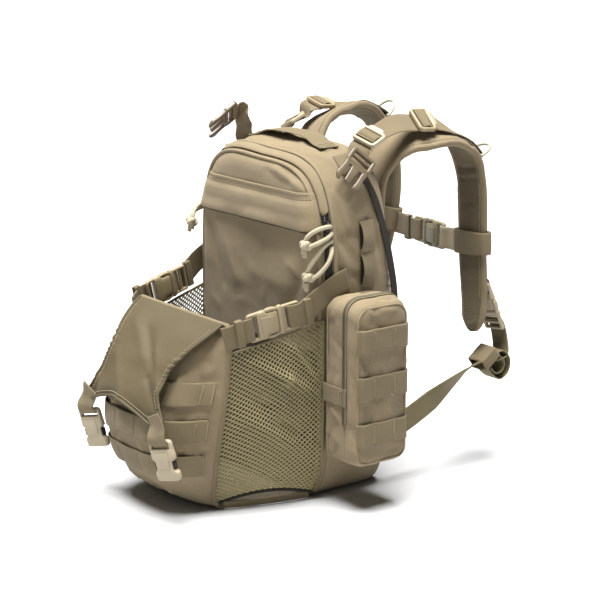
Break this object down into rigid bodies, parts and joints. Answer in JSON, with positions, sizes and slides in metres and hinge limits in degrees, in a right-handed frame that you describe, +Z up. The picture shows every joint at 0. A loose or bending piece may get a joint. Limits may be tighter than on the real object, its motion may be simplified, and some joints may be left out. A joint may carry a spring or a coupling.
{
  "type": "helmet bag backpack",
  "caption": "Small load-carrying backpack with a zipped clamshell body, a net-sided cargo pocket under a turned-out flap, a zipped side pouch and a padded shoulder harness.",
  "frame": {"origin": "on the floor under the middle of the main bag's flat base", "axes": "+Z up as the bag stands, -Y towards the cargo pocket, +Y towards the wearer, +X towards the side pouch"},
  "size_m": [0.2947, 0.4526, 0.4137],
  "materials": {
    "cloth": "matte woven nylon",
    "coated": "coated cloth with a low sheen",
    "net": "matte knitted mesh",
    "webbing": "matte ribbed webbing",
    "pad": "matte woven cover over foam",
    "plastic": "moulded, satin",
    "zip": "dark coil zip on tape",
    "cord": "braided cord",
    "dark": "dark tape"
  },
  "bodies": {
    "bag": {"front_panel": "cloth", "bag_wall": "cloth", "back_panel": "cloth", "main_zip": "zip", "zip_flap": "cloth", "front_band_flap": "cloth", "grab_handle": "webbing", "pocket_front": "cloth", "pocket_net_right": "net", "pocket_net_left": "net", "pocket_flap": "coated", "pocket_row_upper": "webbing", "pocket_row_middle": "webbing", "pocket_row_lower": "webbing", "pouch_tray": "cloth", "pouch_lid": "cloth", "pouch_zip": "zip", "pouch_row_upper": "webbing", "pouch_row_middle": "webbing", "pouch_row_lower": "webbing", "side_buckle_right": "plastic", "side_buckle_left": "plastic", "side_strap_front_right": "webbing", "side_strap_front_left": "webbing", "side_strap_rear_right": "webbing", "side_strap_rear_left": "webbing", "flap_buckle_right": "plastic", "flap_buckle_left": "plastic", "flap_tab_right": "webbing", "flap_tab_left": "webbing", "shoulder_pad_right": "pad", "shoulder_pad_left": "pad", "pad_keeper_right": "webbing", "pad_keeper_left": "webbing", "corner_lock_right": "plastic", "corner_lock_left": "plastic", "ladder_lock_right": "plastic", "ladder_lock_left": "plastic", "top_anchor_right": "webbing", "top_anchor_left": "webbing", "lifter_strap_right": "webbing", "lifter_strap_left": "webbing", "lifter_tail_right": "webbing", "lifter_tail_left": "webbing", "corner_buckle_right": "plastic", "corner_buckle_left": "plastic", "corner_tab_left": "webbing", "lower_buckle_right": "plastic", "lower_buckle_left": "plastic", "lower_strap_right": "webbing", "lower_strap_left": "webbing", "chest_buckle": "plastic", "chest_strap_right": "webbing", "chest_strap_left": "webbing", "edge_strap": "dark", "zip_pull_right_upper": "cord", "zip_pull_right_lower": "cord", "zip_pull_left": "cord"},
    "ring_right": {"d_ring_right": "plastic"},
    "ring_left": {"d_ring_left": "plastic"}
  },
  "joints": [
    {"name": "ring_right_swing", "type": "hinge", "parent": "bag", "child": "ring_right", "pos_m": [0.08708, 0.17871, 0.35542], "axis": [1, -0.0001, 0.0003], "range_deg": [-70, 50]},
    {"name": "ring_left_swing", "type": "hinge", "parent": "bag", "child": "ring_left", "pos_m": [-0.08716, 0.18734, 0.38069], "axis": [0.9998, 0.0207, 0.0063], "range_deg": [-70, 45]}
  ]
}
